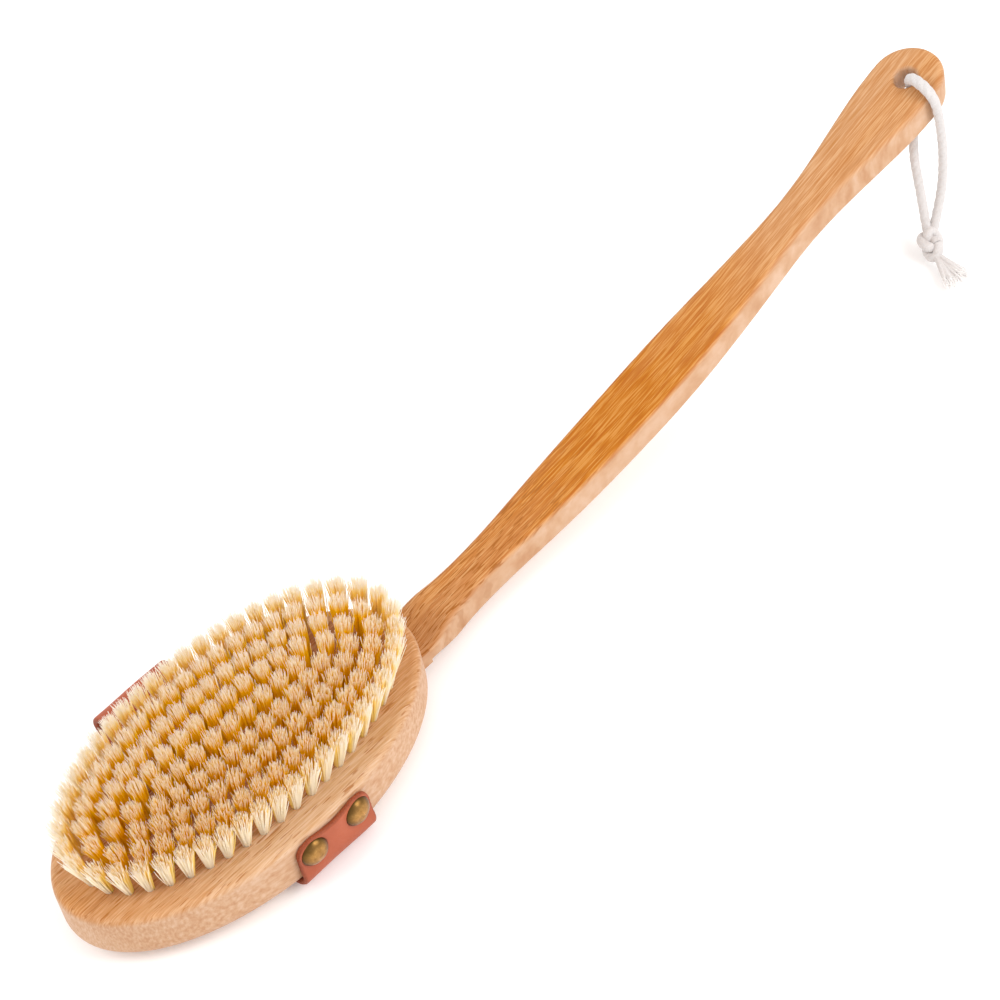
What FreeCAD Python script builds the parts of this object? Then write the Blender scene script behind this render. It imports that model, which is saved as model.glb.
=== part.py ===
import FreeCAD, Part
import os
from math import acos, atan2, cos, degrees, hypot, pi, sin, tan

# Long-handled body dry brush, lying on its back with the bristles up.
# Millimetres. The handle runs towards +X and the bristles point to +Z.
# Everything is drawn about the centre of the head's face, then moved so
# that the origin is the middle of the footprint, on the table.

V = FreeCAD.Vector

# Head: oval beech block with blind tuft holes and a mortise for the handle
HEAD_A = 70.0                 # half length
HEAD_B = 38.5                 # half width
HEAD_T = 19.5                 # thickness
FACE_ROUND = 2.5
BACK_ROUND = 7.0
MORTISE_END = 25.0            # x of the blind end
MORTISE_PLAY = 0.1

# Handle: flat tongue, waisted grip, drilled round end
TONGUE_W = 20.0
TONGUE_T = 5.6
TONGUE_IN = 26.0              # x of the tongue's inner end
TONGUE_OUT = 71.5             # x where the grip starts to thicken
GRIP_START = 13.0             # length over which it thickens
HANDLE_T = 11.0
TIP_R = 13.0
TIP_X = 336.0
EDGE_ROUND = 2.0
ROOT_Z = -13.8                # height of the tongue's mid plane
HALF_WIDTHS = [(71.5, 10.0), (75.0, 9.8), (79.0, 9.25), (84.0, 8.5), (90.0, 7.8), (97.0, 7.35),
               (105.0, 7.3), (112.0, 7.5), (125.0, 8.25), (140.0, 9.2), (157.0, 9.95), (175.0, 10.4),
               (192.0, 10.6), (208.0, 10.25), (224.0, 9.4), (238.0, 8.5), (250.0, 7.75), (261.0, 7.35),
               (271.0, 7.65), (281.0, 8.6), (292.0, 10.1), (302.0, 11.5), (312.0, 12.6), (318.0, 12.93)]

# Hanging hole and cord
HOLE_X = 324.0
HOLE_R = 4.0
HOLE_ROUND = 1.5
CORD_R = 1.65

# Tufts: four oval rings and a middle row, each tuft in its own drilled hole
PITCH = 6.35                  # spacing along a ring
RING_STEP = 7.35              # spacing between rings
OUTER_A = 60.8
OUTER_B = 29.0
FIELD_X = 2.3                 # middle of the tufts
FIELD_Y = 1.4
ROW_HALF = 27.0
ROW_COUNT = 9
RINGS = 4
RING_CHORDS = 4000            # fine steps that the spacing is measured with
HOLE_TUFT_R = 1.35
HOLE_TUFT_DEEP = 7.0
TUFT_ROOT_R = 1.25
TUFT_TIP_R = 2.95
TUFT_HIGH = 16.8
TUFT_IN = 5.4
TUFT_SPREAD = 4.3             # how far the outer tips lean out
ROW_SPREAD = 1.2              # the same at the ends of the middle row
ANCHOR = (2.4, 0.45, 1.3)     # length, thickness, height of the flat wire anchor

# Hand strap and its dome nails
STRAP_W = 30.0
STRAP_X = 2.3                 # middle of the strap
STRAP_T = 2.0
STRAP_GAP = 0.1
BULGE_Y = 54.4                # the slack lies in a loop out to here
BULGE_R = 4.7
STRAP_TOP = -0.3
NAIL_X = 9.2
NAIL_Z = -6.0
NAIL_CAP_R = 5.0
NAIL_CAP_H = 2.5
NAIL_CAP_T = 0.5
NAIL_PIN_R = 0.9
NAIL_PIN_IN = 6.5             # depth of the pin in the wood


def oval_block(a, b, z0, z1):
    """Upright elliptical block."""
    edge = Part.Ellipse(V(0, 0, z0), a, b).toShape()
    return Part.Face(Part.Wire([edge])).extrude(V(0, 0, z1 - z0))


def centre_z(x):
    """Height of the grip's mid line: it curves up towards the bristle side, less so past 252."""
    if x <= TONGUE_OUT:
        return ROOT_Z
    u = (x - 62.0) / 100.0
    late = max(u - 1.9, 0.0)
    start = (TONGUE_OUT - 62.0) / 100.0
    return ROOT_Z + 5.56 * (u - start) + 5.0 * (u * u - start * start) - 4.59 * late * late


def slope(x):
    """Slope of the mid line; the grip leaves the tongue level."""
    if x <= TONGUE_OUT:
        return 0.0
    return centre_z(x + 0.5) - centre_z(x - 0.5)


def thickness(x):
    """The grip thins into the tongue over its last stretch."""
    t = min(max((x - TONGUE_OUT) / GRIP_START, 0.0), 1.0)
    s = t * t * (3.0 - 2.0 * t)
    return TONGUE_T + (HANDLE_T - TONGUE_T) * s


def spline(points):
    curve = Part.BSplineCurve()
    curve.interpolate([V(*p) for p in points])
    return curve.toShape()


def grip():
    """Side view and plan view of the grip, each extruded and intersected."""
    stations = [TONGUE_OUT, 74.0, 77.0, 80.0, 84.0, 88.0, 95.0]
    stations += [110.0 + 19.0 * i for i in range(12)] + [TIP_X + 2.0]
    top = []
    low = []
    for x in stations:
        half = thickness(x) / 2.0
        lean = atan2(slope(x), 1.0)
        top.append((x - half * sin(lean), -30.0, centre_z(x) + half * cos(lean)))
        low.append((x + half * sin(lean), -30.0, centre_z(x) - half * cos(lean)))
    low.reverse()
    end_edge = Part.LineSegment(V(*top[-1]), V(*low[0])).toShape()
    start_edge = Part.LineSegment(V(*low[-1]), V(*top[0])).toShape()
    side = Part.Wire([spline(top), end_edge, spline(low), start_edge])
    side_block = Part.Face(side).extrude(V(0, 60, 0))
    tip_c = TIP_X - TIP_R
    far = [(x, w, -60.0) for x, w in HALF_WIDTHS] + [(tip_c, TIP_R, -60.0)]
    near = [(x, -w, z) for x, w, z in far]
    near.reverse()
    cap = Part.Arc(V(*far[-1]), V(TIP_X, 0, -60.0), V(*near[0])).toShape()
    start_edge = Part.LineSegment(V(*near[-1]), V(*far[0])).toShape()
    plan = Part.Wire([spline(far), cap, spline(near), start_edge])
    plan_block = Part.Face(plan).extrude(V(0, 0, 140))
    return side_block.common(plan_block)


def long_edges(shape, x_from):
    """Edges that run along the top and the underside, past x_from."""
    found = []
    for edge in shape.Edges:
        box = edge.BoundBox
        upright = box.ZLength > 3.0 and box.XLength < 4.0 and box.YLength < 0.5
        if box.XMax > x_from and not upright and box.XLength > 5.0:
            found.append(edge)
    return found


def hole_frame():
    """Centre, along, and upright directions at the hanging hole."""
    lean = atan2(slope(HOLE_X), 1.0)
    centre = V(HOLE_X, 0, centre_z(HOLE_X))
    return centre, V(cos(lean), 0, sin(lean)), V(-sin(lean), 0, cos(lean))


def handle():
    body = grip()
    body = body.makeFillet(EDGE_ROUND, long_edges(body, 100.0))
    centre, _, up = hole_frame()
    drill = Part.makeCylinder(HOLE_R, 30.0, centre - up * 15.0, up)
    body = body.cut(drill)
    rims = []
    for edge in body.Edges:
        near_hole = all((v.Point - centre).Length < 9.0 for v in edge.Vertexes)
        if near_hole and edge.BoundBox.ZLength < 4.0 and edge.Length > 5.0:
            rims.append(edge)
    body = body.makeFillet(HOLE_ROUND, rims)
    tongue = Part.makeBox(TONGUE_OUT - TONGUE_IN, TONGUE_W, TONGUE_T,
                          V(TONGUE_IN, -TONGUE_W / 2.0, ROOT_Z - TONGUE_T / 2.0))
    inner = [e for e in tongue.Edges if e.BoundBox.XMax < TONGUE_IN + 0.01]
    corners = [e for e in inner if e.BoundBox.ZLength > 1.0]
    tongue = tongue.makeFillet(3.0, corners)
    return body.fuse(tongue).removeSplitter()


def round_ellipse(a, b):
    """Distance along an ellipse from +X, for RING_CHORDS equal steps of its angle."""
    table = [0.0]
    for i in range(RING_CHORDS):
        t0 = 2.0 * pi * i / RING_CHORDS
        t1 = 2.0 * pi * (i + 1) / RING_CHORDS
        table.append(table[-1] + hypot(a * (cos(t1) - cos(t0)), b * (sin(t1) - sin(t0))))
    return table


def ring(a, b, spread):
    """Tufts at equal spacing round an ellipse: (x, y, outward x, outward y, lean)."""
    table = round_ellipse(a, b)
    count = 2 * int(table[-1] / PITCH / 2.0 + 0.25)
    entries = []
    k = 0
    for i in range(count):
        while table[k + 1] < table[-1] * i / count:
            k += 1
        t = 2.0 * pi * k / RING_CHORDS
        size = hypot(cos(t) / a, sin(t) / b)
        out_x = cos(t) / a / size
        out_y = sin(t) / b / size
        entries.append((FIELD_X + a * cos(t), FIELD_Y + b * sin(t), out_x, out_y, spread))
    return entries


def tuft_layout():
    """Name of each group of tufts to its (x, y, lean direction, lean) entries."""
    groups = {"middle_row": []}
    for i in range(ROW_COUNT):
        share = 2.0 * i / (ROW_COUNT - 1) - 1.0
        groups["middle_row"].append((FIELD_X + ROW_HALF * share, FIELD_Y, share, 0.0, ROW_SPREAD))
    for number in range(1, RINGS + 1):
        inset = RING_STEP * (RINGS - number)
        spread = TUFT_SPREAD * (0.35 + 0.65 * number / RINGS)
        groups["ring_%d" % number] = ring(OUTER_A - inset, OUTER_B - inset, spread)
    return groups


def tuft_axis(entry):
    x, y, nx, ny, spread = entry
    axis = V(nx * spread, ny * spread, TUFT_HIGH)
    return V(x, y, 0), axis.normalize()


def turned(points):
    """Solid of revolution about Z from (radius, height) points."""
    wire = Part.makePolygon([V(r, 0, z) for r, z in points] + [V(points[0][0], 0, points[0][1])])
    return Part.Face(wire).revolve(V(0, 0, 0), V(0, 0, 1), 360)


def placed(shape, foot, axis, spin=0.0):
    """Stand a shape drawn about Z on a point, along an axis."""
    copy = shape.copy()
    turn = FreeCAD.Rotation(V(0, 0, 1), axis).multiply(FreeCAD.Rotation(V(0, 0, 1), spin))
    copy.Placement = FreeCAD.Placement(foot, turn)
    return copy


def tufts_and_anchors():
    """One cone of bristles per hole, and the flat wire anchor under it."""
    tall = TUFT_HIGH + 0.3
    one = turned([(0, -TUFT_IN), (TUFT_ROOT_R, -TUFT_IN), (TUFT_ROOT_R, 0), (TUFT_TIP_R, tall), (0, tall)])
    long_, thick, high = ANCHOR
    wire = Part.makeBox(long_, thick, high, V(-long_ / 2.0, -thick / 2.0, -HOLE_TUFT_DEEP + 0.1))
    tufts = {}
    anchors = {}
    holes = []
    for name, entries in tuft_layout().items():
        tufts[name] = []
        anchors[name] = []
        for entry in entries:
            foot, axis = tuft_axis(entry)
            tufts[name].append(placed(one, foot, axis))
            spin = degrees(atan2(entry[3], entry[2])) + 90.0
            anchors[name].append(placed(wire, foot, axis, spin))
            bottom = foot - axis * HOLE_TUFT_DEEP
            holes.append(Part.makeCylinder(HOLE_TUFT_R, HOLE_TUFT_DEEP + 3.0, bottom, axis))
    return tufts, anchors, holes


def head(holes):
    block = oval_block(HEAD_A, HEAD_B, -HEAD_T, 0.0)
    rim_face = [e for e in block.Edges if e.BoundBox.ZMin > -0.01]
    block = block.makeFillet(FACE_ROUND, rim_face)
    rim_back = [e for e in block.Edges if e.BoundBox.ZMax < -HEAD_T + 0.01]
    block = block.makeFillet(BACK_ROUND, rim_back)
    wide = TONGUE_W + 2.0 * MORTISE_PLAY
    high = TONGUE_T + 2.0 * MORTISE_PLAY
    mortise = Part.makeBox(60.0, wide, high, V(MORTISE_END, -wide / 2.0, ROOT_Z - high / 2.0))
    pins = [nail_bore(x, side) for x, side in nail_places()]
    block = block.cut(Part.makeCompound([mortise] + pins))
    return block.cut(Part.makeCompound(holes))


def nail_places():
    """x and side of each nail."""
    return [(STRAP_X + shift, side) for shift in (-NAIL_X, NAIL_X) for side in (-1, 1)]


def nail_bore(x, side):
    """Clear way for a nail's pin through the strap and into the wood."""
    start = V(x, side * (HEAD_B + 4.0), NAIL_Z)
    return Part.makeCylinder(NAIL_PIN_R, NAIL_PIN_IN + 4.0, start, V(0, -side, 0))


def nails():
    """Stamped hollow caps and the pins fixed in them."""
    seat = HEAD_B + STRAP_GAP + STRAP_T
    bend = (NAIL_CAP_R ** 2 + NAIL_CAP_H ** 2) / (2.0 * NAIL_CAP_H)
    low = NAIL_CAP_H - bend
    dome = Part.makeSphere(bend, V(0, 0, low))
    hollow = Part.makeSphere(bend - NAIL_CAP_T, V(0, 0, low))
    shell = dome.cut(hollow).common(Part.makeCylinder(NAIL_CAP_R + 1.0, 10.0))
    pin_top = NAIL_CAP_H - NAIL_CAP_T
    pin_end = -(STRAP_T + STRAP_GAP + NAIL_PIN_IN)
    pin = turned([(0, pin_end), (NAIL_PIN_R, pin_end + 2.5), (NAIL_PIN_R, pin_top - 0.2), (0, pin_top - 0.2)])
    caps = []
    pins = []
    for x, side in nail_places():
        foot = V(x, side * seat, NAIL_Z)
        caps.append(placed(shell, foot, V(0, side, 0)))
        pins.append(placed(pin, foot, V(0, side, 0)))
    return caps, pins


def strap_path():
    """Mid line of the strap across the head, as (kind, data) steps in (y, z)."""
    mid = HEAD_B + STRAP_GAP + STRAP_T / 2.0
    floor = -HEAD_T - STRAP_GAP - STRAP_T / 2.0
    wrap = BACK_ROUND + STRAP_GAP + STRAP_T / 2.0
    near_c = (-mid + wrap, floor + wrap)
    bulge_r = BULGE_R
    bulge_c = (BULGE_Y, floor + bulge_r)
    leave_r = 3.5
    leave_c = (mid + leave_r, -13.4)
    gap_y = bulge_c[0] - leave_c[0]
    gap_z = leave_c[1] - bulge_c[1]
    rise = -acos((leave_r + bulge_r) / hypot(gap_y, gap_z)) + atan2(gap_y, gap_z)
    steps = [("line", (-mid, 0.0), (-mid, near_c[1])),
             ("arc", near_c, wrap, pi, 1.5 * pi),
             ("line", (near_c[0], floor), (bulge_c[0], floor)),
             ("arc", bulge_c, bulge_r, -pi / 2.0, pi / 2.0 + rise)]
    start = (bulge_c[0] - bulge_r * sin(rise), bulge_c[1] + bulge_r * cos(rise))
    end = (leave_c[0] + leave_r * sin(rise), leave_c[1] - leave_r * cos(rise))
    steps.append(("line", start, end))
    steps.append(("arc", leave_c, leave_r, -pi / 2.0 + rise, -pi))
    steps.append(("line", (mid, leave_c[1]), (mid, 0.0)))
    return steps


def offset_steps(steps, shift):
    """The same path moved to its left by shift, as edges in the plane x = 0."""
    edges = []
    for step in steps:
        if step[0] == "line":
            (y0, z0), (y1, z1) = step[1], step[2]
            size = hypot(y1 - y0, z1 - z0)
            ny, nz = -(z1 - z0) / size * shift, (y1 - y0) / size * shift
            edges.append(Part.LineSegment(V(0, y0 + ny, z0 + nz), V(0, y1 + ny, z1 + nz)).toShape())
        else:
            (cy, cz), radius, a0, a1 = step[1:]
            r = radius - shift if a1 > a0 else radius + shift
            spots = [V(0, cy + r * cos(a), cz + r * sin(a)) for a in (a0, (a0 + a1) / 2.0, a1)]
            edges.append(Part.Arc(*spots).toShape())
    return edges


def strap():
    steps = strap_path()
    left = offset_steps(steps, STRAP_T / 2.0)
    right = offset_steps(steps, -STRAP_T / 2.0)
    mid = HEAD_B + STRAP_GAP + STRAP_T / 2.0
    half = STRAP_T / 2.0
    ends = [Part.LineSegment(V(0, s * mid - half, 0), V(0, s * mid + half, 0)).toShape() for s in (-1, 1)]
    outline = Part.Wire(Part.__sortEdges__(left + right + ends))
    band = Part.Face(outline).extrude(V(STRAP_W, 0, 0))
    band.translate(V(-STRAP_W / 2.0, 0, 0))
    w = STRAP_W / 2.0
    half_lobes = [(4.2, -0.8), (9.0, 0.0), (12.6, -0.9), (14.6, -3.5), (w, -7.0)]
    lobes = [(-x, z) for x, z in reversed(half_lobes)] + [(0.0, -1.2)] + half_lobes
    top = spline([(x, -80.0, STRAP_TOP + z) for x, z in lobes])
    side = STRAP_TOP - 7.0
    below = Part.makePolygon([V(w, -80, side), V(w, -80, -40), V(-w, -80, -40), V(-w, -80, side)])
    mask = Part.Face(Part.Wire([top] + below.Edges)).extrude(V(0, 160, 0))
    body = band.common(mask)
    body.translate(V(STRAP_X, 0, 0))
    bores = [nail_bore(x, side) for x, side in nail_places()]
    return body.cut(Part.makeCompound(bores))


def local(t, y, n):
    centre, along, up = hole_frame()
    return centre + along * t + V(0, y, 0) + up * n


def floor_z():
    return -HEAD_T - STRAP_GAP - STRAP_T


def cord_route():
    """From the knot up over the near edge, through the hole, and back down to the knot."""
    over = HANDLE_T / 2.0 + 2.7
    return [V(310.3, -17.6, -13.9), V(317.6, -16.2, -5.0), V(321.0, -15.2, 9.0), V(321.6, -14.8, 25.0),
            local(-1.9, -(TIP_R + 2.1), over - 0.3), local(-0.3, -2.1, over), local(0.2, -1.9, -over + 1.6),
            V(315.6, -7.3, 13.6), V(311.2, -12.4, 1.0), V(307.6, -14.9, -13.6)]


def cord_radius(i, before, after, turn):
    """The cord hugs the handle's corner and the hole's rim, and bends gently elsewhere."""
    usual = 0.45 * min(before, after) / tan(turn / 2.0)
    tight = {4: EDGE_ROUND + CORD_R + 0.6, 5: HOLE_ROUND + CORD_R + 0.5}
    return min(usual, tight.get(i, 60.0))


def tube(route, radius):
    """Round cord along straight runs joined by tangent arcs."""
    edges = []
    last = route[0]
    for i in range(1, len(route) - 1):
        a = route[i - 1] - route[i]
        b = route[i + 1] - route[i]
        turn = pi - a.getAngle(b)
        bend = cord_radius(i, a.Length, b.Length, turn)
        back = bend * tan(turn / 2.0)
        ua = V(a).normalize()
        ub = V(b).normalize()
        p = route[i] + ua * back
        q = route[i] + ub * back
        middle = V(ua + ub).normalize()
        m = route[i] + middle * (bend / cos(turn / 2.0) - bend)
        edges.append(Part.LineSegment(last, p).toShape())
        edges.append(Part.Arc(p, m, q).toShape())
        last = q
    edges.append(Part.LineSegment(last, route[-1]).toShape())
    path = Part.Wire(edges)
    start = route[0]
    ring = Part.Wire([Part.makeCircle(radius, start, route[1] - start)])
    return path.makePipeShell([ring], True, False)


def knot():
    """Plain oval solid round the overhand knot."""
    ball = Part.makeSphere(1.0)
    grow = FreeCAD.Matrix()
    grow.scale(6.0, 4.7, 4.7)
    body = ball.transformGeometry(grow)
    turn = FreeCAD.Rotation(V(1, 0, 0), V(-0.5, -0.72, -0.3))
    body.Placement = FreeCAD.Placement(V(306.6, -19.2, floor_z() + 4.95), turn)
    return body


def tails():
    """Two short ends past the knot, spreading where they fray."""
    root = V(303.6, -23.2, floor_z() + 2.7)
    ends = [V(299.0, -36.0, floor_z() + 1.9), V(294.2, -33.2, floor_z() + 1.9)]
    side = [V(0.9, -0.8, 0), V(-0.9, 0.8, 0)]
    bodies = []
    for end, shift in zip(ends, side):
        foot = root + shift * 1.6
        bodies.append(Part.makeCone(1.1, 1.8, (end - foot).Length, foot, end - foot))
    return bodies


def save(name, solids, move):
    copies = []
    for solid in solids:
        body = solid.copy()
        body.translate(move)
        copies.append(body)
    shape = copies[0] if len(copies) == 1 else Part.makeCompound(copies)
    shape.exportStep("parts/%s.step" % name)


def main():
    os.makedirs("parts", exist_ok=True)
    tufts, anchors, holes = tufts_and_anchors()
    caps, pins = nails()
    cord = tube(cord_route(), CORD_R)
    ball = knot()
    cord = cord.cut(ball)
    ends = [end.cut(ball) for end in tails()]
    y_low = -(HEAD_B + STRAP_GAP + STRAP_T + NAIL_CAP_H)
    y_high = BULGE_Y + BULGE_R + STRAP_T / 2.0
    move = V(-(TIP_X - HEAD_A) / 2.0, -(y_low + y_high) / 2.0, -floor_z())
    save("head_block", [head(holes)], move)
    save("handle", [handle()], move)
    save("hand_strap", [strap()], move)
    save("nail_caps", caps, move)
    save("nail_pins", pins, move)
    for name in tufts:
        save("tufts_" + name, tufts[name], move)
        save("anchors_" + name, anchors[name], move)
    save("cord_loop", [cord], move)
    save("cord_knot", [ball], move)
    save("cord_tail_a", [ends[0]], move)
    save("cord_tail_b", [ends[1]], move)


main()
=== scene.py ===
from math import acos, atan2, cos, pi, radians, sin, sqrt

import bmesh
import bpy
import numpy as np
from mathutils import Matrix, Vector


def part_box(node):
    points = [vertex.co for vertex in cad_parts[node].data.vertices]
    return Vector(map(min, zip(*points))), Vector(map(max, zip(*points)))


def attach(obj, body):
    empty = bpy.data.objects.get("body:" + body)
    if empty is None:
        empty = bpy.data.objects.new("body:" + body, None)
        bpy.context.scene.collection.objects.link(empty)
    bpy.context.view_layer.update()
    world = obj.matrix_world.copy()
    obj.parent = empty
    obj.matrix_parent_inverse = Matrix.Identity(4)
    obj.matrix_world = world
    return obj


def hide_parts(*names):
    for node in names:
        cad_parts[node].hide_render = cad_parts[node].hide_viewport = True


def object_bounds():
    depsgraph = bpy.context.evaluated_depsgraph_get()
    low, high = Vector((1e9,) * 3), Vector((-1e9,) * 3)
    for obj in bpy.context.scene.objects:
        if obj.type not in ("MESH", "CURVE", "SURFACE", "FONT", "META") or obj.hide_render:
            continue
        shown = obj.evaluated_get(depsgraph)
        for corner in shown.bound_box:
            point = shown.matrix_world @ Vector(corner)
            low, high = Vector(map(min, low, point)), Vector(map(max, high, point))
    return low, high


# A long-handled body dry brush lying on its back: beech head and handle, bristle tufts made of single
# bristles, a nailed leather strap and a knotted cotton cord. Metres, in the frame of the CAD model.

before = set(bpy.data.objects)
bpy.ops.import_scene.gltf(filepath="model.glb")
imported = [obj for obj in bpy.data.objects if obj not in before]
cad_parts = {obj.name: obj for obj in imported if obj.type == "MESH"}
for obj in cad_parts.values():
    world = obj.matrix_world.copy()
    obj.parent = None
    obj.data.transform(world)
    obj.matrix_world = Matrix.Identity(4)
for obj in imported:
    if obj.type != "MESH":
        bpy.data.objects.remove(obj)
cad_low, cad_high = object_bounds()
rng = np.random.default_rng(7)

FACE_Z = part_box("head_block")[1].z             # the face the bristles stand on
HEAD_X = sum(c.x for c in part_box("head_block")) / 2
HEAD_Y = sum(c.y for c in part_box("head_block")) / 2


# ---------------------------------------------------------------- shader helpers

def shader(name):
    """A new material with its node tree and its Principled node."""
    material = bpy.data.materials.new(name)
    material.use_nodes = True
    tree = material.node_tree
    return material, tree, tree.nodes["Principled BSDF"]


def add(tree, kind, settings=None, **inputs):
    """A shader node; an input is a value or another node's socket, and an underscore stands for a space."""
    made = tree.nodes.new("ShaderNode" + kind)
    for key, value in (settings or {}).items():
        setattr(made, key, value)
    for key, value in inputs.items():
        socket = made.inputs[int(key[1:]) if key[1:].isdigit() else key.replace("_", " ")]
        if isinstance(value, bpy.types.NodeSocket):
            tree.links.new(value, socket)
        else:
            socket.default_value = value
    return made


def maths(tree, operation, a, b=0.0, clamp=False):
    return add(tree, "Math", {"operation": operation, "use_clamp": clamp}, i0=a, i1=b).outputs[0]


def mixed(tree, factor, a, b):
    """Colour a at factor 0 and colour b at factor 1."""
    return add(tree, "Mix", {"data_type": "RGBA"}, i0=factor, i6=a, i7=b).outputs[2]


def ramp(tree, factor, stops, smooth=False):
    """A colour ramp through (position, colour) stops; a colour may be one grey number."""
    made = add(tree, "ValToRGB", i0=factor)
    made.color_ramp.interpolation = "EASE" if smooth else "LINEAR"
    points = made.color_ramp.elements
    while len(points) < len(stops):
        points.new(0.5)
    for point, (place, colour) in zip(points, stops):
        point.position = place
        point.color = (colour, colour, colour, 1) if isinstance(colour, float) else (*colour, 1)
    return made.outputs[0]


def place(tree, scale=(1, 1, 1)):
    """Object coordinates in metres, scaled along each axis."""
    coords = add(tree, "TexCoord").outputs["Object"]
    return add(tree, "Mapping", Vector=coords, Scale=scale).outputs[0]


def noise(tree, where, scale=1.0, detail=3.0, rough=0.5):
    made = add(tree, "TexNoise", Vector=where, Scale=scale, Detail=detail, Roughness=rough)
    return made.outputs["Fac"]


def bump(tree, height, distance, strength):
    return add(tree, "Bump", Height=height, Distance=distance, Strength=strength).outputs[0]


# ---------------------------------------------------------------- materials

NECK = (-0.04, 0.04)        # the dashes fade out between these two places


def wood(name, span, tones, rise, dashes, rarity):
    """Oiled beech: thin streaks and soft bands along X, short dark dashes near the neck, plain paler sides.

    tones says how golden the top is, from one end of span to the other: on the handle that is the oil's
    colour, while on the head the pale middle is painted sheen, light the face reflects by the strap. The
    sides' paler colour is painted sheen too. rise is how finely the pattern changes with height: low on a
    part that climbs, so its streaks stay long. dashes is how strong the dark dashes are at the neck, and
    rarity how few there are.
    """
    material, tree, surface = shader(name)
    streaks = noise(tree, place(tree, (85, 1800, rise)), detail=3, rough=0.55)
    broad = noise(tree, place(tree, (9, 110, rise / 5)), detail=2)
    flecks = noise(tree, place(tree, (170, 1900, rise * 1.6)), detail=1, rough=0.4)
    fleck = ramp(tree, flecks, [(rarity, 0.0), (rarity + 0.07, 1.0)])
    grain = maths(tree, "ADD", maths(tree, "MULTIPLY", streaks, 0.75), maths(tree, "MULTIPLY", broad, 0.25))
    pale = ramp(tree, grain, [(0.34, (0.53, 0.30, 0.120)), (0.50, (0.62, 0.40, 0.235)),
                              (0.64, (0.69, 0.50, 0.36))])
    warm = ramp(tree, grain, [(0.39, (0.39, 0.100, 0.001)), (0.50, (0.445, 0.138, 0.003)),
                              (0.60, (0.56, 0.235, 0.045))])
    # painted sheen: the sides' paler, less golden colours stand for white light reflected off them
    side = ramp(tree, grain, [(0.34, (0.47, 0.24, 0.120)), (0.50, (0.54, 0.315, 0.180)),
                              (0.66, (0.60, 0.39, 0.26))])
    x = add(tree, "SeparateXYZ", Vector=add(tree, "TexCoord").outputs["Object"]).outputs["X"]
    spot = add(tree, "MapRange", Value=x, From_Min=span[0], From_Max=span[1]).outputs["Result"]
    uneven = maths(tree, "MULTIPLY", maths(tree, "SUBTRACT", broad, 0.5), 0.7)
    gold = maths(tree, "ADD", ramp(tree, spot, tones), uneven, clamp=True)
    top = mixed(tree, gold, pale, warm)
    up = add(tree, "SeparateXYZ", Vector=add(tree, "NewGeometry").outputs["Normal"]).outputs["Z"]
    # facing blends from the painted sheen of the sides to the top; the dashes on the sides are paler by the
    # same painted sheen
    facing = ramp(tree, up, [(0.15, 0.0), (0.95, 1.0)], smooth=True)
    dark = mixed(tree, facing, (0.38, 0.165, 0.060, 1), (0.33, 0.105, 0.012, 1))
    neck = add(tree, "MapRange", {"interpolation_type": "SMOOTHSTEP"},
               Value=x, From_Min=NECK[1], From_Max=NECK[0]).outputs["Result"]
    many = maths(tree, "ADD", maths(tree, "MULTIPLY", neck, dashes), 0.10)
    shown = maths(tree, "MULTIPLY", fleck, maths(tree, "MULTIPLY", many, maths(tree, "ADD", facing, 0.35)))
    colour = mixed(tree, shown, mixed(tree, facing, side, top), dark)
    tree.links.new(colour, surface.inputs["Base Color"])
    tree.links.new(ramp(tree, streaks, [(0.3, 0.52), (0.7, 0.42)]), surface.inputs["Roughness"])
    relief = maths(tree, "SUBTRACT", maths(tree, "MULTIPLY", streaks, 0.4), fleck)
    tree.links.new(bump(tree, relief, 0.00004, 0.3), surface.inputs["Normal"])
    surface.inputs["Specular IOR Level"].default_value = 0.22
    return material


def bristle():
    """Natural bristle, which lets a little light through: golden shafts and pale split tips."""
    material, tree, surface = shader("hair")
    along = add(tree, "Attribute", {"attribute_name": "along"}).outputs["Fac"]
    # painted light: the pale attribute is highest on the outer ring's lit outward side
    pale = add(tree, "Attribute", {"attribute_name": "pale"}).outputs["Fac"]
    # painted shade: the shaft's strong gold stands partly for light bounced among the shaded bristles deep
    # in the field
    shaft = mixed(tree, pale, (0.998, 0.82, 0.008, 1), (0.986, 0.945, 0.83, 1))
    tip = mixed(tree, pale, (0.956, 0.918, 0.855, 1), (0.956, 0.930, 0.885, 1))
    rise = ramp(tree, along, [(0.0, 0.0), (0.79, 0.0), (0.95, 1.0)])
    colour = mixed(tree, rise, shaft, tip)
    tree.links.new(colour, surface.inputs["Base Color"])
    surface.inputs["Roughness"].default_value = 0.6
    surface.inputs["Specular IOR Level"].default_value = 0.2
    through = add(tree, "BsdfTranslucent", Color=colour)
    both = add(tree, "MixShader", i0=0.4, i1=surface.outputs[0], i2=through.outputs[0])
    tree.links.new(both.outputs[0], tree.nodes["Material Output"].inputs["Surface"])
    return material


def leather():
    material, tree, surface = shader("strap_leather")
    where = place(tree)
    grain = noise(tree, where, 1500, 5, 0.65)
    patches = noise(tree, where, 60, 3)
    body = ramp(tree, patches, [(0.35, (0.365, 0.078, 0.031)), (0.65, (0.43, 0.100, 0.043))])
    edge = add(tree, "Attribute", {"attribute_name": "edge"}).outputs["Fac"]
    worn = ramp(tree, edge, [(0.0, 0.0), (0.20, 0.35), (0.50, 1.0)])
    burnt = ramp(tree, grain, [(0.35, (0.20, 0.034, 0.010)), (0.65, (0.30, 0.062, 0.018))])
    tree.links.new(mixed(tree, worn, burnt, body), surface.inputs["Base Color"])
    tree.links.new(ramp(tree, grain, [(0.3, 0.62), (0.7, 0.48)]), surface.inputs["Roughness"])
    tree.links.new(bump(tree, grain, 0.00006, 0.45), surface.inputs["Normal"])
    surface.inputs["Specular IOR Level"].default_value = 0.3
    return material


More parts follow.
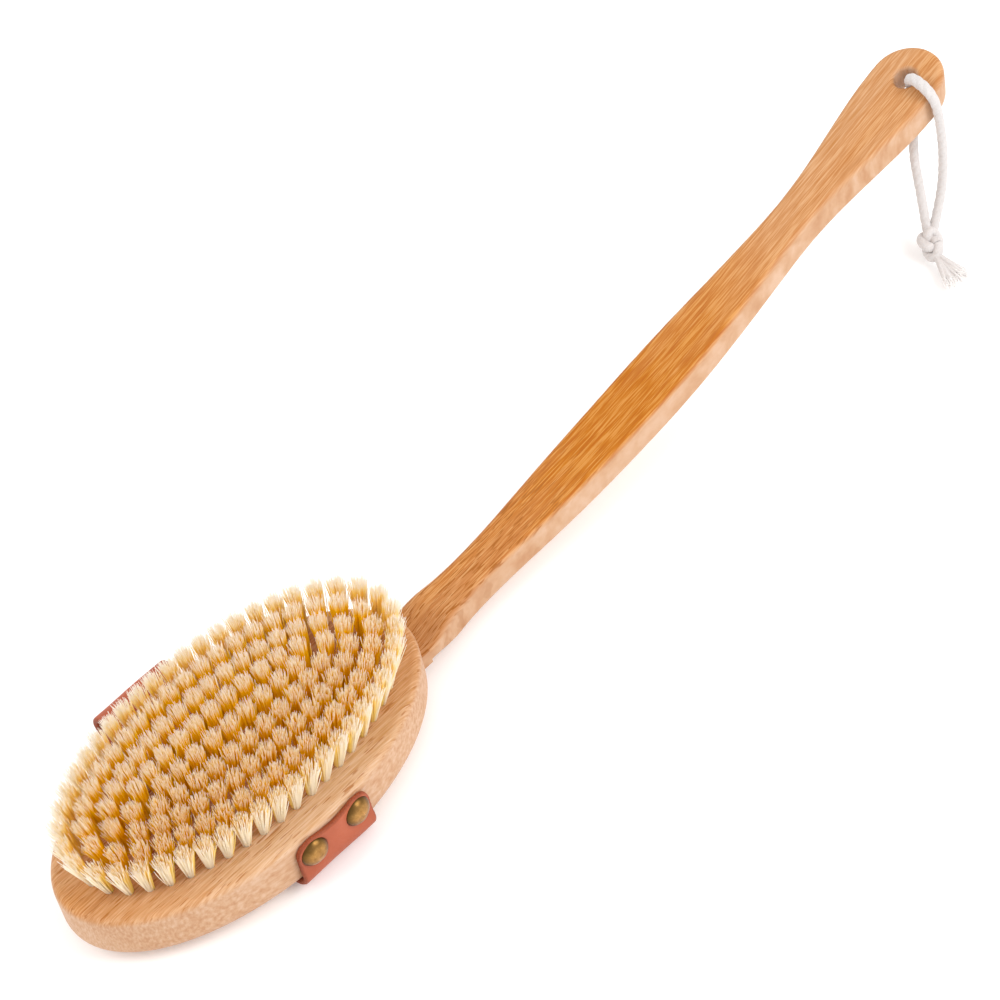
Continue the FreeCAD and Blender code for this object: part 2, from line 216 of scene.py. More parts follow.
def brass():
    material, tree, surface = shader("aged_brass")
    spots = noise(tree, place(tree), 700, 4, 0.6)
    rim = add(tree, "Attribute", {"attribute_name": "rim"}).outputs["Fac"]
    clean = ramp(tree, spots, [(0.3, (0.28, 0.138, 0.037)), (0.7, (0.50, 0.265, 0.083))])
    # patina on the turned-under rim, and across the outer dome a painted dark reflection that fades in from
    # its middle
    colour = mixed(tree, rim, clean, (0.100, 0.052, 0.014, 1))
    tree.links.new(colour, surface.inputs["Base Color"])
    tree.links.new(ramp(tree, spots, [(0.3, 0.38), (0.7, 0.26)]), surface.inputs["Roughness"])
    tree.links.new(bump(tree, spots, 0.0001, 0.25), surface.inputs["Normal"])
    surface.inputs["Metallic"].default_value = 1.0
    return material


def cotton():
    material, tree, surface = shader("cotton")
    fibres = noise(tree, place(tree), 2600, 3, 0.6)
    colour = ramp(tree, fibres, [(0.3, (0.545, 0.505, 0.49)), (0.7, (0.65, 0.62, 0.605))])
    loose = add(tree, "Attribute", {"attribute_name": "loose"}).outputs["Fac"]
    colour = mixed(tree, loose, colour, (0.93, 0.915, 0.905, 1))     # light passes among loose fibres
    tree.links.new(colour, surface.inputs["Base Color"])
    tree.links.new(bump(tree, fibres, 0.00005, 0.3), surface.inputs["Normal"])
    surface.inputs["Roughness"].default_value = 0.9
    surface.inputs["Sheen Weight"].default_value = 0.25
    return material


def steel():
    material, tree, surface = shader("steel")
    lines = noise(tree, place(tree, (400, 400, 9000)), detail=2)
    tree.links.new(ramp(tree, lines, [(0.3, (0.42, 0.42, 0.43)), (0.7, (0.60, 0.60, 0.61))]),
                   surface.inputs["Base Color"])
    tree.links.new(ramp(tree, lines, [(0.3, 0.42), (0.7, 0.25)]), surface.inputs["Roughness"])
    surface.inputs["Metallic"].default_value = 1.0
    return material


# ---------------------------------------------------------------- mesh helpers

def piece(name, vertices, faces, body, slot_name, material, smooth=True, **attributes):
    """A mesh object that rides on a body, with its attributes given one number per vertex."""
    mesh = bpy.data.meshes.new(name)
    mesh.from_pydata([tuple(v) for v in vertices], [], [tuple(f) for f in faces])
    for key, values in attributes.items():
        mesh.attributes.new(key, "FLOAT", "POINT").data.foreach_set("value", np.asarray(values, np.float32))
    if smooth:
        mesh.shade_smooth()
    mesh.materials.append(material)
    made = bpy.data.objects.new(name, mesh)
    bpy.context.scene.collection.objects.link(made)
    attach(made, body)
    return made


def tidy_normals(made):
    """Turn every face of a closed mesh outwards."""
    work = bmesh.new()
    work.from_mesh(made.data)
    bmesh.ops.recalc_face_normals(work, faces=work.faces)
    work.to_mesh(made.data)
    work.free()


def solids_of(node):
    """The corner points of each separate solid of a CAD node."""
    work = bmesh.new()
    work.from_mesh(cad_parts[node].data)
    bmesh.ops.remove_doubles(work, verts=work.verts, dist=1e-6)
    left = set(work.verts)
    found = []
    while left:
        group = [left.pop()]
        for vertex in group:
            for edge in vertex.link_edges:
                other = edge.other_vert(vertex)
                if other in left:
                    left.remove(other)
                    group.append(other)
        found.append(np.array([v.co[:] for v in group]))
    work.free()
    return sorted(found, key=lambda points: tuple(points.mean(0)))


# ---------------------------------------------------------------- bristles

STRANDS = 130               # bristles in a tuft
STRAND_R = 0.000155
STRAND_STEPS = 6            # rings along a bristle
STRAND_SIDES = 3
STRAND_SPOTS = np.linspace(-0.12, 1.0, STRAND_STEPS)     # places along it, from inside the hole to its tip
STRAND_TAPER = np.array([1.0, 1.0, 1.0, 0.95, 0.85, 0.45])
TUFT_ROOT_R = 0.0012
TUFT_TIP_R = 0.0030
TUFT_FULL = 0.8             # below 1, a tuft opens early and looks full
TUFT_CROWN = 0.035          # how much shorter a tuft's outermost bristles are
TIPS_UNEVEN = 0.00045
STRAY_SHARE = 0.05          # bristles that stand out from their tuft
BEND = 0.00022              # how far a bristle bends sideways
# painted light: the outer ring is painted paler all over, and more on its outward side, where light falls on
# it from the near side
OUTER_LIT_PALE = (0.34, 1.7)    # how pale a ring is all over, and more on the side that faces out
INNER_PALE = (-0.04, 0.08)


def tuft_frames(node):
    """Foot on the head's face, unit axis and length of each tuft of a CAD node."""
    frames = []
    for points in solids_of(node):
        height = points[:, 2]
        low = points[height < height.min() + 0.0015].mean(0)
        high = points[height > height.max() - 0.003].mean(0)
        axis = (high - low) / np.linalg.norm(high - low)
        foot = low + axis * (FACE_Z - low[2]) / axis[2]
        frames.append((foot, axis, float((high - foot) @ axis)))
    return frames


def strands(foot, axis, length):
    """Centre lines of one tuft's bristles, and how far each bristle is on the side that faces out."""
    out = np.array([foot[0] - HEAD_X, foot[1] - HEAD_Y, 0.0])
    side = np.cross(axis, [1.0, 0.0, 0.0])
    side /= np.linalg.norm(side)
    other = np.cross(axis, side)
    share = np.sqrt((np.arange(STRANDS) + 0.5) / STRANDS)
    angle = np.arange(STRANDS) * pi * (3 - sqrt(5)) + rng.uniform(0, 2 * pi)
    angle = angle + rng.normal(0, 0.12, STRANDS)
    tall = length * (1.0 - TUFT_CROWN * share ** 2) + rng.normal(0, TIPS_UNEVEN, STRANDS)
    flare = TUFT_TIP_R * share * rng.uniform(0.90, 1.08, STRANDS)
    stray = rng.random(STRANDS) < STRAY_SHARE
    flare = np.where(stray, flare + rng.uniform(0.0004, 0.0016, STRANDS), flare)
    lines = np.empty((STRANDS, STRAND_STEPS, 3))
    bend = rng.normal(0, BEND, (STRANDS, 2))
    for k, t in enumerate(STRAND_SPOTS):
        opened = max(t, 0.0) ** TUFT_FULL
        radius = TUFT_ROOT_R * share * (1 - opened) + flare * opened
        u = radius * np.cos(angle) + bend[:, 0] * max(t, 0.0) ** 2 * 2
        v = radius * np.sin(angle) + bend[:, 1] * max(t, 0.0) ** 2 * 2
        lines[:, k] = foot + np.outer(tall * t, axis) + np.outer(u, side) + np.outer(v, other)
    turned = np.cos(angle)[:, None] * side + np.sin(angle)[:, None] * other
    facing = turned @ (out / np.linalg.norm(out))
    return lines, np.clip(share * facing, 0, 1)


def tubes(lines, radii, sides):
    """Vertices and faces of thin open tubes along many lines at once."""
    count, steps = lines.shape[:2]
    run = np.gradient(lines, axis=1)
    run /= np.linalg.norm(run, axis=2, keepdims=True)
    side = np.cross(run, [0.31, 0.95, 0.02])
    side /= np.linalg.norm(side, axis=2, keepdims=True)
    other = np.cross(run, side)
    angles = np.arange(sides) * 2 * pi / sides
    ring = (np.cos(angles)[:, None] * side[:, :, None] + np.sin(angles)[:, None] * other[:, :, None])
    points = lines[:, :, None] + ring * radii[None, :, None, None]
    base = np.arange(count)[:, None, None] * steps * sides
    k = np.arange(steps - 1)[None, :, None] * sides
    a = np.arange(sides)[None, None]
    b = (a + 1) % sides
    here, ahead = base + k, base + k + sides
    quads = np.stack([here + a, here + b, ahead + b, ahead + a], -1).reshape(-1, 4)
    return points.reshape(-1, 3), quads


def tuft_group(node, material, pale_in, lit_side_pale):
    """All bristles of one ring, in one piece that stands for that ring's CAD cones."""
    lines = []
    shown = []
    for foot, axis, length in tuft_frames(node):
        group, outward = strands(foot, axis, length)
        lines.append(group)
        shown.append(outward)
    lines = np.concatenate(lines)
    shown = np.concatenate(shown)
    points, quads = tubes(lines, STRAND_R * STRAND_TAPER, STRAND_SIDES)
    along = np.tile(np.repeat(STRAND_SPOTS, STRAND_SIDES), len(lines))
    # painted light: bristles on a tuft's outward side, and the outer ring all over, are painted paler where
    # light falls on them; the rest is random tone
    pale = np.clip(rng.normal(pale_in, 0.07, len(lines)) + lit_side_pale * shown, 0, 1)
    pale = np.repeat(pale, STRAND_STEPS * STRAND_SIDES)
    made = piece("bristles" + node[5:], points, quads, "head", "bristle", material, False,
                 along=np.clip(along, 0, 1), pale=pale)
    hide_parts(node)


# ---------------------------------------------------------------- strap and nails

MM = 0.001
MOVE = np.array([-133.0, -8.5, 21.6])         # from the middle of the head's face to the frame, mm
HEAD_A, HEAD_B, HEAD_T, BACK_ROUND = 70.0, 38.5, 19.5, 7.0
STRAP_X, STRAP_HALF, STRAP_T, STRAP_GAP = 2.3, 15.0, 2.0, 0.1
STRAP_TOP = -0.3
SLACK_Y, SLACK_R = 54.4, 4.7                  # the slack's loop
LEAVE_Z, LEAVE_R = -13.4, 3.5                 # where the far side leaves the wood
LOBE_ACROSS = [0, 4.2, 9.0, 12.6, 14.0, 14.6, 15.0]
LOBE_DOWN = [1.2, 0.8, 0.0, 0.9, 2.2, 3.5, 5.6]
LOBE_FADE = 22.0                              # how far down the band the lobes still show
HUG_LOW, HUG_RISE = -17.0, 7.0                # it follows the oval wall from here up
HUG_OUT, HUG_IN = 44.0, 3.0                   # and inside this distance from the middle
NAIL_X, NAIL_Z = 9.2, -6.0
EDGE_IN, EDGE_WIDE = 0.42, 0.75               # how the strap thins at its rounded edge
EDGE_OUT = 0.14                               # how far the middle of the edge stands out
PRESS, PRESS_R = 0.30, 5.6                    # how deep and how far round it each nail presses the strap
WAVE = 0.10                                   # how uneven the leather is between its ends


def wall_inset(x):
    """How far the head's oval wall lies inside its widest place, at x from the head's middle."""
    return HEAD_B * (1.0 - np.sqrt(1.0 - (np.asarray(x) / HEAD_A) ** 2))


def strap_line():
    """Fine points (y, z) of the strap's mid line, from its near end under the head to its far end."""
    mid = HEAD_B + STRAP_GAP + STRAP_T / 2
    floor = -HEAD_T - STRAP_GAP - STRAP_T / 2
    wrap = BACK_ROUND + STRAP_GAP + STRAP_T / 2
    turn = np.array([SLACK_Y, floor + SLACK_R])
    leave = np.array([mid + LEAVE_R, LEAVE_Z])
    gap = turn - leave
    rise = atan2(gap[0], -gap[1]) - acos((LEAVE_R + SLACK_R) / float(np.hypot(*gap)))

    def arc(centre, radius, start, end):
        angles = np.linspace(start, end, 40)
        return np.stack([centre[0] + radius * np.cos(angles), centre[1] + radius * np.sin(angles)], 1)

    return np.concatenate([
        [[-mid, 0.0]], arc((wrap - mid, floor + wrap), wrap, pi, 1.5 * pi),
        arc(turn, SLACK_R, -pi / 2, pi / 2 + rise), arc(leave, LEAVE_R, rise - pi / 2, -pi), [[mid, 0.0]]])


def even(line, step):
    """A line's points again, at equal steps."""
    far = np.concatenate([[0.0], np.cumsum(np.linalg.norm(np.diff(line, axis=0), axis=1))])
    spots = np.linspace(0.0, far[-1], int(far[-1] / step) + 1)
    return np.stack([np.interp(spots, far, line[:, k]) for k in range(line.shape[1])], 1), spots


def strap(material):
    """A band with lobed ends, hugging the head's sides, pressed in round each nail, its cut edge rounded."""
    line, far = even(strap_line(), 0.05)
    total = far[-1]

    # places across and along the band, closer together near its edges
    inner = np.arange(-12.0, 12.1, 0.75)
    rims = np.array([15.0, 14.8, 14.55, 14.2, 13.75, 13.2, 12.6])
    x = np.concatenate([-rims, inner, rims[::-1]])
    ends = np.array([0.0, 0.2, 0.45, 0.8, 1.25, 1.8, 2.4])
    near = np.concatenate([ends, np.arange(3.1, 15.0, 0.7)])
    rows = np.concatenate([near, np.linspace(15.5, total - 15.5, 150), total - near[::-1]])

    # the two lobes of each end, which fade out along the band
    deep = np.interp(np.abs(x), LOBE_ACROSS, LOBE_DOWN) - STRAP_TOP
    away = np.minimum(rows, total - rows)
    fade = np.clip(1.0 - away / LOBE_FADE, 0.0, 1.0) ** 1.5
    sign = np.where(rows < total / 2, 1.0, -1.0)
    s = rows[:, None] + sign[:, None] * deep[None] * fade[:, None]
    y, z = (np.interp(s, far, line[:, k]) for k in (0, 1))
    run = np.stack([np.interp(s, far, np.gradient(line[:, k], far)) for k in (0, 1)], -1)
    run /= np.linalg.norm(run, axis=2, keepdims=True)
    out = np.stack([run[..., 1], -run[..., 0]], -1)

    # on the head's sides the band follows their curve
    hug = np.clip((z - HUG_LOW) / HUG_RISE, 0.0, 1.0) * np.clip((HUG_OUT - np.abs(y)) / HUG_IN, 0.0, 1.0)
    hug = hug * hug * (3 - 2 * hug)
    y = y - np.sign(y) * hug * wall_inset(STRAP_X + x)[None]
    edge = np.minimum(STRAP_HALF - np.abs(x)[None], away[:, None])
    half = STRAP_T / 2 - EDGE_IN * np.clip(1.0 - edge / EDGE_WIDE, 0.0, 1.0) ** 2
    press = np.zeros_like(s)
    for centre in (-NAIL_X, NAIL_X):
        near_nail = np.hypot(x[None] - centre, z - NAIL_Z) / PRESS_R
        press += PRESS * np.exp(-near_nail ** 4) * (np.abs(y) < 42) * (z > -14)
    wave = WAVE * np.sin(s * 6.0 / 19.0 + x[None] * 0.22) * np.clip(away[:, None] / 20.0, 0, 1)
    sheets = []
    for face in (1.0, -1.0):
        lift = half * face - (press if face > 0 else 0.0) + wave
        sheets.append(np.stack([np.broadcast_to(x[None] + STRAP_X, s.shape), y + out[..., 0] * lift,
                                z + out[..., 1] * lift], -1))

    # both faces, and between them a middle line that rounds the cut edge
    n, m = s.shape
    grid = np.arange(n * m).reshape(n, m)
    quad = np.stack([grid[:-1, :-1], grid[:-1, 1:], grid[1:, 1:], grid[1:, :-1]], -1).reshape(-1, 4)
    ring = np.concatenate([grid[0], grid[1:, -1], grid[-1, -2::-1], grid[-2:0:-1, 0]])
    flat = [sheet.reshape(-1, 3) for sheet in sheets]
    middle = (flat[0][ring] + flat[1][ring]) / 2
    push = np.zeros((n, m, 3))
    push[:, 0, 0], push[:, -1, 0] = -EDGE_OUT, EDGE_OUT
    push[0, :, 1:] -= EDGE_OUT * run[0]
    push[-1, :, 1:] += EDGE_OUT * run[-1]
    middle = middle + push.reshape(-1, 3)[ring]
    count = n * m
    after = np.roll(ring, -1)
    k = np.arange(len(ring))
    k1 = np.roll(k, -1)
    wall_a = np.stack([ring, 2 * count + k, 2 * count + k1, after], -1)
    wall_b = np.stack([2 * count + k, count + ring, count + after, 2 * count + k1], -1)
    points = (np.concatenate(flat + [middle]) + MOVE) * MM
    faces = np.concatenate([quad, quad[:, ::-1] + count, wall_a, wall_b])
    shown = np.clip(edge / 1.5, 0, 1)
    shown = np.concatenate([shown.ravel(), shown.ravel(), np.zeros(len(ring))])
    made = piece("strap", points, faces, "head", "strap_leather", material, edge=shown)
    tidy_normals(made)
    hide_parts("hand_strap")


CAP_SIDES = 56
CAP_RIPPLE, CAP_DENT = 0.016, 0.05            # how unevenly a nail head is hammered
CAP_R = 5.0
CAP_SINK = 0.12                               # how far a nail head presses into the leather
CAP_PROFILE = [(0.0, 2.50), (0.9, 2.47), (1.8, 2.34), (2.6, 2.10), (3.3, 1.76), (3.9, 1.33),
               (4.35, 0.90), (4.68, 0.50), (4.88, 0.18), (4.98, -0.10), (5.0, -0.35), (4.86, -0.52),
               (4.6, -0.5), (4.3, -0.2)]      # radius and height, from the crown to the turned-under rim


def caps(material):
    """Domed nail heads, a little hammered, each square to the wood below it."""
    up = np.array([0.0, 0.0, 1.0])
    angles = np.arange(CAP_SIDES) * 2 * pi / CAP_SIDES
    vertices, faces, rim = [], [], []
    for side in (-1.0, 1.0):
        for shift in (-NAIL_X, NAIL_X):
            x = STRAP_X + shift
            lean = x / HEAD_A ** 2 * HEAD_B * HEAD_B / (HEAD_B - float(wall_inset(x)))
            out = np.array([lean, side, 0.0])
            out /= np.linalg.norm(out)
            along = np.cross(up, out)
            seat = HEAD_B + STRAP_GAP + STRAP_T - float(wall_inset(x)) - CAP_SINK
            foot = np.array([x, side * seat, NAIL_Z])
            start = len(vertices)
            dents = rng.uniform(0, 2 * pi, 6)
            for radius, height in CAP_PROFILE:
                for angle in angles:
                    ripple = sum(np.sin((i + 2) * angle + dents[i]) for i in range(3)) * CAP_RIPPLE
                    ripple += CAP_DENT * np.sin(1.3 * radius * np.cos(angle) + dents[3])
                    r = radius * (1 + 0.004 * np.sin(3 * angle + dents[4]))
                    lift = height + ripple * (1 - (radius / CAP_R) ** 4) * min(radius, 1.0)
                    vertices.append(foot + along * r * np.cos(angle) + up * r * np.sin(angle) + out * lift)
                    # rim is 1 on the turned-under rim, real patina, and grows across the outer dome as
                    # painted dark reflection
                    rim.append(min(max((radius - 2.0) / 2.9, 0.0), 1.0) ** 1.4 if height > -0.1 else 1.0)
            for i in range(len(CAP_PROFILE) - 1):
                here = start + i * CAP_SIDES
                ahead = here + CAP_SIDES
                for j in range(CAP_SIDES):
                    j1 = (j + 1) % CAP_SIDES
                    faces.append((here + j, here + j1, ahead + j1, ahead + j))
    points = (np.array(vertices) + MOVE) * MM
    made = piece("nail_domes", points, faces, "head", "aged_brass", material, rim=rim)
    work = bmesh.new()
    work.from_mesh(made.data)
    bmesh.ops.remove_doubles(work, verts=work.verts, dist=1e-7)
    work.to_mesh(made.data)
    work.free()
    tidy_normals(made)
    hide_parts("nail_caps")


# ---------------------------------------------------------------- cord

CORD_D = 0.0033
CORD_STEP = 0.00033                           # how fine the cord's mesh is along it
ROUTE = [(0.1766, -0.0268, 0.0070), (0.1843, -0.0250, 0.0166), (0.1880, -0.0243, 0.0306),
         (0.1882, -0.0241, 0.0466), (0.1862, -0.0239, 0.0613), (0.1884, -0.0106, 0.0626),
         (0.1928, -0.0096, 0.0474), (0.1822, -0.0158, 0.0352), (0.1792, -0.0204, 0.0226),
         (0.1756, -0.0254, 0.0070)]
HOLE = np.array([0.1910, -0.0085, 0.0537])
RIM = np.array([0.1890, -0.0150, 0.0620])      # where the cord lies flat over the handle
RIM_REACH, RIM_SWELL = 0.009, 0.22            # how far round there it is thicker, and by how much
KNOT = np.array([0.1733, -0.0287, 0.0056])
KNOT_AXIS = np.array([-0.5, -0.72, -0.3])
KNOT_R, KNOT_LOBE, KNOT_DEEP = 3.0, 1.5, 1.9  # the trefoil's middle radius, lobes and height, mm
KNOT_LONG, KNOT_WIDE = 1.12, 0.68             # and its stretch along the cord and across it
TAIL_ROOT = np.array([0.1708, -0.0335, 0.0042])
TAIL_ENDS = [np.array([0.1688, -0.0459, 0.0036]), np.array([0.1636, -0.0458, 0.0032])]
YARNS = 20                                    # loose yarns in each tail
YARN_R = 0.00074
YARN_RING = 12                                # points round a yarn
SPREAD_ROOT, SPREAD_TIP = 0.0009, 0.0026      # how far apart the yarns are
SPLIT_ENDS = 14                               # fibres at the end of each yarn
YARN_LOW, FIBRE_LOW = 0.0014, 0.0010          # how near the floor they come


def route_line(points):
    """Points along the smooth line that the route's points steer."""
    data = bpy.data.curves.new("route", "CURVE")
    data.dimensions = "3D"
    data.resolution_u = 24
    spline = data.splines.new("NURBS")
    spline.points.add(len(points) - 1)
    for point, co in zip(spline.points, points):
        point.co = (*co, 1.0)
    spline.order_u = 3
    spline.use_endpoint_u = True
    holder = bpy.data.objects.new("route", data)
    bpy.context.scene.collection.objects.link(holder)
    bpy.context.view_layer.update()
    mesh = bpy.data.meshes.new_from_object(holder)
    line = np.array([v.co[:] for v in mesh.vertices])
    bpy.data.objects.remove(holder)
    bpy.data.curves.remove(data)
    bpy.data.meshes.remove(mesh)
    return line


def moving_frame(line, closed=False):
    """Directions across a line that turn as little as possible along it."""
    run = np.roll(line, -1, 0) - np.roll(line, 1, 0) if closed else np.gradient(line, axis=0)
    run /= np.linalg.norm(run, axis=1, keepdims=True)
    side = np.cross(run[0], [0.3, 0.2, 0.9])
    sides = []
    for direction in run:
        side = side - direction * (side @ direction)
        side = side / np.linalg.norm(side)
        sides.append(side)
    sides = np.array(sides)
    return run, sides, np.cross(run, sides)


def rope(line, radius, lay=0.0095, lobes=3, groove=0.13, ring=24, closed=False):
    """Vertices and faces of a twisted cord round a line; radius is one number or one per point."""
    _, side, other = moving_frame(line, closed)
    steps = np.linalg.norm(np.diff(line, axis=0), axis=1)
    far = np.concatenate([[0.0], np.cumsum(steps)])
    angle = np.arange(ring) * 2 * pi / ring
    phase = lobes * (angle[None] - 2 * pi * far[:, None] / lay)
    swell = 1.0 - groove * (1.0 - np.abs(np.sin(phase / 2)) ** 0.6)
    r = (np.broadcast_to(radius, len(line))[:, None] * swell)[..., None]
    points = line[:, None] + r * (np.cos(angle)[None, :, None] * side[:, None]
                                  + np.sin(angle)[None, :, None] * other[:, None])
    grid = np.arange(len(line) * ring).reshape(-1, ring)
    ahead = np.roll(grid, -1, 0) if closed else grid[1:]
    here = grid if closed else grid[:-1]
    quads = np.stack([here, np.roll(here, -1, 1), np.roll(ahead, -1, 1), ahead], -1).reshape(-1, 4)
    faces = [tuple(f) for f in quads]
    if not closed:
        faces += [tuple(grid[0][::-1]), tuple(grid[-1])]
    return points.reshape(-1, 3), faces


def joined(parts):
    """Several (vertices, faces) as one."""
    vertices, faces, count = [], [], 0
    for points, polygons in parts:
        vertices.append(points)
        faces += [tuple(i + count for i in f) for f in polygons]
        count += len(points)
    return np.concatenate(vertices), faces


def fuzz(line, radius, count, low=0.0003, high=0.0010):
    """Short stray fibres standing off a cord's surface."""
    run, side, other = moving_frame(line)
    picks = rng.integers(2, len(line) - 2, count)
    turn = rng.uniform(0, 2 * pi, count)
    out = np.cos(turn)[:, None] * side[picks] + np.sin(turn)[:, None] * other[picks]
    lean = rng.normal(0, 0.9, (count, 1)) * run[picks]
    lean = lean + rng.normal(0, 0.5, (count, 1)) * np.cross(out, run[picks])
    size = rng.uniform(low, high, (count, 1))
    start = line[picks] + out * radius * 0.9
    step = (out + lean) / np.linalg.norm(out + lean, axis=1, keepdims=True)
    fibres = np.stack([start, start + step * size * 0.5, start + step * size + out * size * 0.15], 1)
    return tubes(fibres, np.array([0.00003, 0.000025, 0.000012]), 3)


def cord_pieces(material):
    """One loop through the hole, as its front and back legs, with the knot and the frayed ends on it."""
    line, _ = even(route_line(ROUTE), CORD_STEP)
    inside = int(np.argmin(np.linalg.norm(line - HOLE, axis=1)))
    legs = {"cord_front_leg": line[:inside + 2], "cord_back_leg": line[inside:]}
    for name, leg in legs.items():
        over_rim = np.exp(-((np.linalg.norm(leg - RIM, axis=1) / RIM_REACH) ** 4))
        tube = rope(leg, CORD_D / 2 * (1.0 + RIM_SWELL * over_rim))
        points, faces = joined([tube, fuzz(leg, CORD_D / 2, len(leg) * 3)])
        piece(name, points, faces, "grip", "cotton", material, False)
        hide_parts("cord_loop")
    knot_made = knot(material)
    ends = frayed(material)


def knot(material):
    """An overhand knot pulled tight: a trefoil of the same cord."""
    along = KNOT_AXIS / np.linalg.norm(KNOT_AXIS)
    up = np.array([-0.40, -0.55, 0.73])
    up -= along * (up @ along)
    up /= np.linalg.norm(up)
    across = np.cross(up, along)
    t = np.linspace(0, 2 * pi, 240, endpoint=False) + 0.55
    radial = KNOT_R + KNOT_LOBE * np.cos(3 * t)
    u = radial * np.cos(2 * t) * KNOT_LONG
    v = radial * np.sin(2 * t) * KNOT_WIDE
    w = KNOT_DEEP * np.sin(3 * t)
    line = KNOT + MM * (u[:, None] * along + v[:, None] * across + w[:, None] * up)
    points, faces = rope(line, CORD_D / 2 * 1.05, groove=0.09, closed=True)
    joint = joined([(points, faces), fuzz(line, CORD_D / 2 * 0.93, 420, 0.0002, 0.0007)])
    made = piece("knot", *joint, "grip", "cotton", material, False)
    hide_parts("cord_knot")
    return made


def frayed(material):
    """Each tail opens into loose yarns with split ends."""
    done = []
    for name, end in zip(("tail_a", "tail_b"), TAIL_ENDS):
        axis = end - TAIL_ROOT
        reach = np.linalg.norm(axis)
        axis /= reach
        side = np.cross(axis, [0.0, 0.0, 1.0])
        side /= np.linalg.norm(side)
        up = np.cross(side, axis)
        parts, loose = [], []
        for i in range(YARNS):
            share = np.sqrt((i + 0.5) / YARNS)
            angle = i * pi * (3 - sqrt(5))
            size = rng.uniform(0.86, 1.08) * (1 - 0.10 * share) * reach * 1.02
            t = np.linspace(0.0, 1.0, 22)[:, None]
            flare = SPREAD_ROOT * share * (1 - t ** 1.6) + SPREAD_TIP * share * t ** 1.6
            wobble = rng.normal(0, 0.00022, 2)
            sag = np.array([0.0, 0.0, -0.0003]) * np.sin(pi * t)
            line = (TAIL_ROOT + axis * size * t + side * (flare * np.cos(angle) + wobble[0] * np.sin(3 * t))
                    + up * (flare * np.sin(angle) * 0.62 + wobble[1] * np.sin(4 * t)) + sag)
            line[:, 2] = np.maximum(line[:, 2], YARN_LOW)
            radius = YARN_R * (1 - 0.30 * t[:, 0] ** 2)
            parts.append(rope(line, radius, lay=0.0042, lobes=2, groove=0.2, ring=YARN_RING))
            loose.append(np.repeat(0.3 * t[:, 0] ** 2, YARN_RING))
            heads = []
            for _ in range(SPLIT_ENDS):
                tip = line[-1] + axis * rng.uniform(0.0008, 0.0026) + rng.normal(0, 0.00055, 3)
                tip[2] = max(tip[2], FIBRE_LOW)
                base = line[-3] + rng.normal(0, 0.00025, 3)
                heads.append([base, (base + tip) / 2 + rng.normal(0, 0.00015, 3), tip])
            fibres = tubes(np.array(heads), np.array([0.00011, 0.00009, 0.00003]), 3)
            parts.append(fibres)
            loose.append(np.ones(len(fibres[0])))
        made = piece(name, *joined(parts), "grip", "cotton", material, False, loose=np.concatenate(loose))
        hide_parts("cord_" + name)
        done.append(made)
    return done


# ---------------------------------------------------------------- stage

AIM = Vector((-0.0303, -0.0306, 0.0612))      # what the middle of the view looks at
DISTANCE = 1.0
AZIMUTH, ELEVATION, ROLL = radians(-126.0), radians(47.0), radians(-13.5)
FOCAL = 118.4
FLOOR_DROP = 0.0002                           # keeps the floor just clear of the object
BOUNCES = 24                                  # light passes among many pale bristles


def camera():
    """A long lens above the near side of the head, a little turned."""
    back = Vector((cos(ELEVATION) * cos(AZIMUTH), cos(ELEVATION) * sin(AZIMUTH), sin(ELEVATION)))
    right = Vector((-sin(AZIMUTH), cos(AZIMUTH), 0.0))
    up = back.cross(right)
    turned_right = right * cos(ROLL) + up * sin(ROLL)
    turned_up = up * cos(ROLL) - right * sin(ROLL)
    view = Matrix((turned_right, turned_up, back)).transposed().to_4x4()
    view.translation = AIM + back * DISTANCE
    data = bpy.data.cameras.new("camera")
    data.lens = FOCAL
    data.sensor_width = 36.0
    eye = bpy.data.objects.new("camera", data)
    bpy.context.scene.collection.objects.link(eye)
    eye.matrix_world = view
    bpy.context.scene.camera = eye


def soft_light(name, where, size, power):
    """A round white area light that faces the frame's origin."""
    data = bpy.data.lights.new(name, "AREA")
    data.shape = "DISK"
    data.size = size
    data.energy = power
    lamp = bpy.data.objects.new(name, data)
    bpy.context.scene.collection.objects.link(lamp)
    lamp.location = where
    lamp.rotation_euler = (-Vector(where)).to_track_quat("-Z", "Y").to_euler()


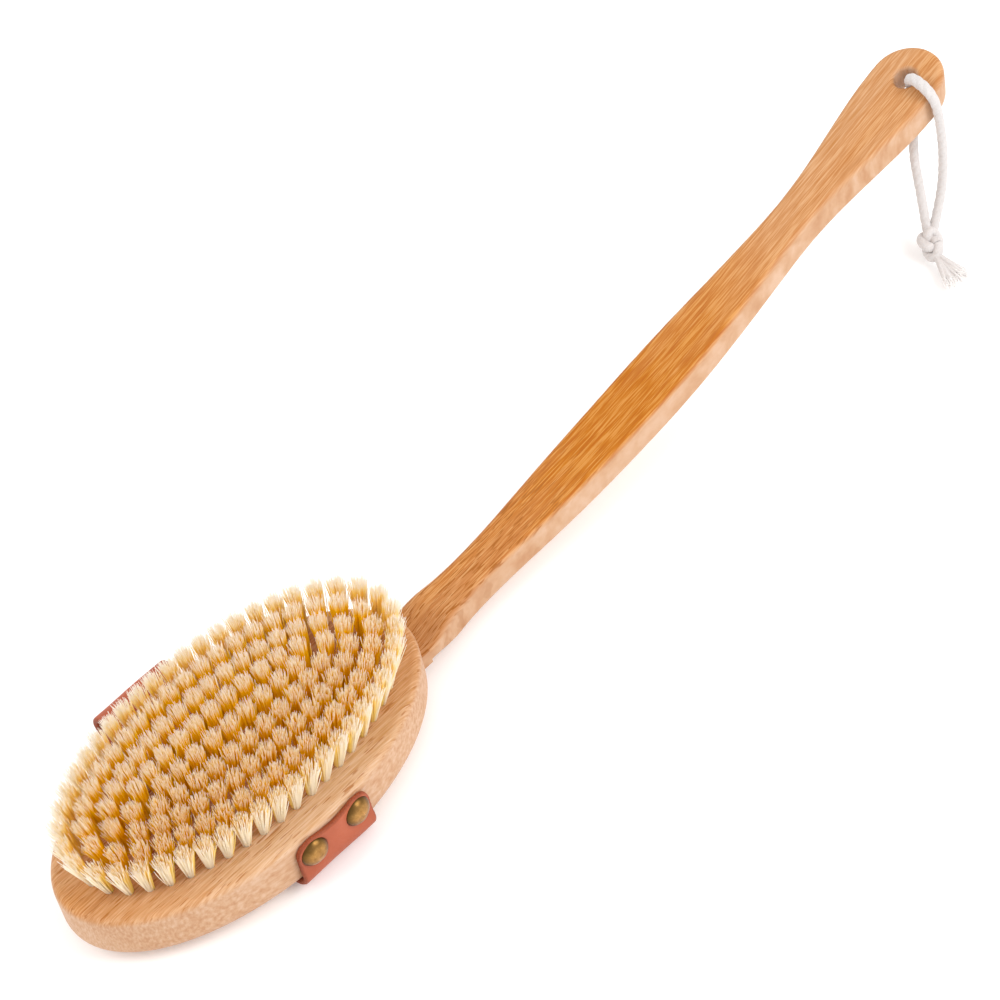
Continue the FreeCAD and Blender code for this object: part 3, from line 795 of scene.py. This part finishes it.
def studio():
    """A pale floor, an even white surround and two soft lights."""
    floor = bpy.data.meshes.new("floor")
    floor.from_pydata([(-4, -4, 0), (4, -4, 0), (4, 4, 0), (-4, 4, 0)], [], [(0, 1, 2, 3)])
    material, tree, surface = shader("floor")
    surface.inputs["Base Color"].default_value = (0.93, 0.93, 0.93, 1)
    surface.inputs["Roughness"].default_value = 0.9
    surface.inputs["Emission Color"].default_value = (1, 1, 1, 1)
    surface.inputs["Emission Strength"].default_value = 0.10     # a light table keeps the shadows faint
    floor.materials.append(material)
    ground = bpy.data.objects.new("floor", floor)
    ground.location.z = cad_low[2] - FLOOR_DROP
    bpy.context.scene.collection.objects.link(ground)
    world = bpy.data.worlds.new("studio")
    world.use_nodes = True
    world.node_tree.nodes["Background"].inputs[0].default_value = (1, 1, 1, 1)
    world.node_tree.nodes["Background"].inputs[1].default_value = 1.0
    bpy.context.scene.world = world
    soft_light("key", (0.5, -0.9, 0.9), 0.8, 9.0)
    soft_light("fill", (-0.9, 0.3, 1.0), 0.9, 5.0)
    bpy.context.scene.view_settings.view_transform = "Standard"
    bpy.context.scene.cycles.max_bounces = BOUNCES
    bpy.context.scene.cycles.diffuse_bounces = BOUNCES


# ---------------------------------------------------------------- build

def paint(node, material):
    """Give a CAD node's own mesh a material."""
    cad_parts[node].data.materials.clear()
    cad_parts[node].data.materials.append(material)


camera()
cord_pieces(cotton())

# the head's pale middle is painted sheen; towards its ends it is the wood's own golden tone
head_tones_and_sheen = [(0.0, 0.68), (0.16, 0.45), (0.38, 0.08), (0.62, 0.10), (0.85, 0.52), (1.0, 0.75)]
grip_tones = [(0.04, 0.78), (0.20, 0.88), (0.38, 1.0), (0.55, 0.86), (0.68, 0.62), (1.0, 0.60)]
head_wood = wood("beech_head", (-0.205, -0.060), head_tones_and_sheen, rise=600, dashes=0.42, rarity=0.62)
grip_wood = wood("beech_handle", (-0.070, 0.210), grip_tones, rise=110, dashes=1.0, rarity=0.57)
paint("head_block", head_wood)
paint("handle", grip_wood)

hair = bristle()
for ring in ("middle_row", "ring_1", "ring_2", "ring_3", "ring_4"):
    # the outer ring's paleness is painted light
    tuft_group("tufts_" + ring, hair, *(OUTER_LIT_PALE if ring == "ring_4" else INNER_PALE))

strap(leather())
caps(brass())

bare_steel = steel()
for node_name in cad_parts:
    if node_name == "nail_pins" or node_name.startswith("anchors_"):
        paint(node_name, bare_steel)

studio()
